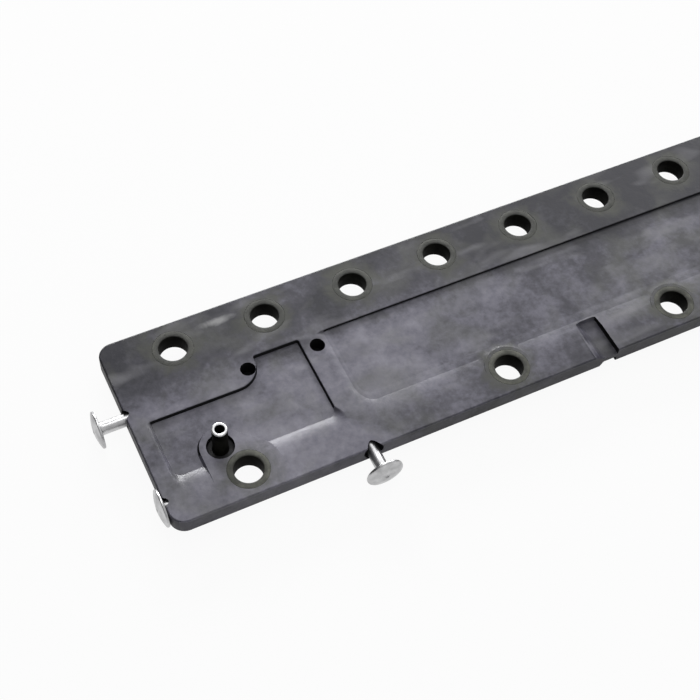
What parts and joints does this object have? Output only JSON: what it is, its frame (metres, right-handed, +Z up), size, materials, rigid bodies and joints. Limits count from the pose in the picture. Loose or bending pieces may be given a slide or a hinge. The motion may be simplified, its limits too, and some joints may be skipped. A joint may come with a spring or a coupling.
{
  "type": "shelf pin drilling jig",
  "caption": "Flat moulded drilling jig with two rows of flush steel drill bushings, sliding disc-headed stop pins at its edges and a stored index pin.",
  "frame": {"origin": "middle of the plate's flat underside", "axes": "+X along the rows of guide holes, +Y from the edge with the middle recess towards the long back row, +Z up out of the plate's top face"},
  "size_m": [0.3144, 0.0785, 0.0197],
  "materials": {
    "moulding": "satin",
    "bushing_steel": "blackened",
    "pin_steel": "polished",
    "collar_nylon": "satin"
  },
  "bodies": {
    "jig": {"jig_plate": "moulding", "back_bushing_1": "bushing_steel", "back_bushing_2": "bushing_steel", "back_bushing_3": "bushing_steel", "back_bushing_4": "bushing_steel", "back_bushing_5": "bushing_steel", "back_bushing_6": "bushing_steel", "back_bushing_7": "bushing_steel", "back_bushing_8": "bushing_steel", "back_bushing_9": "bushing_steel", "front_bushing_1": "bushing_steel", "front_bushing_2": "bushing_steel", "front_bushing_3": "bushing_steel", "front_bushing_4": "bushing_steel"},
    "left_end_stop": {"left_end_stop_pin": "pin_steel"},
    "left_corner_stop": {"left_corner_stop_pin": "pin_steel"},
    "left_front_stop": {"left_front_stop_pin": "pin_steel"},
    "right_front_stop": {"right_front_stop_pin": "pin_steel"},
    "right_corner_stop": {"right_corner_stop_pin": "pin_steel"},
    "right_end_stop": {"right_end_stop_pin": "pin_steel"},
    "index_pin": {"index_pin_collar": "collar_nylon", "index_pin_dowel": "pin_steel"}
  },
  "joints": [
    {"name": "left_end_stop_slide", "type": "slide", "parent": "jig", "child": "left_end_stop", "axis": [-1, 0, 0], "range_m": [-0.008, 0.008]},
    {"name": "left_corner_stop_slide", "type": "slide", "parent": "jig", "child": "left_corner_stop", "axis": [-1, 0, 0], "range_m": [0, 0.008]},
    {"name": "left_front_stop_slide", "type": "slide", "parent": "jig", "child": "left_front_stop", "axis": [0, -1, 0], "range_m": [-0.007, 0.009]},
    {"name": "right_front_stop_slide", "type": "slide", "parent": "jig", "child": "right_front_stop", "axis": [0, -1, 0], "range_m": [0, 0.016]},
    {"name": "right_corner_stop_slide", "type": "slide", "parent": "jig", "child": "right_corner_stop", "axis": [1, 0, 0], "range_m": [0, 0.008]},
    {"name": "right_end_stop_slide", "type": "slide", "parent": "jig", "child": "right_end_stop", "axis": [1, 0, 0], "range_m": [0, 0.016]},
    {"name": "index_pin_lift", "type": "slide", "parent": "jig", "child": "index_pin", "axis": [0, 0, 1], "range_m": [0, 0.01]}
  ]
}
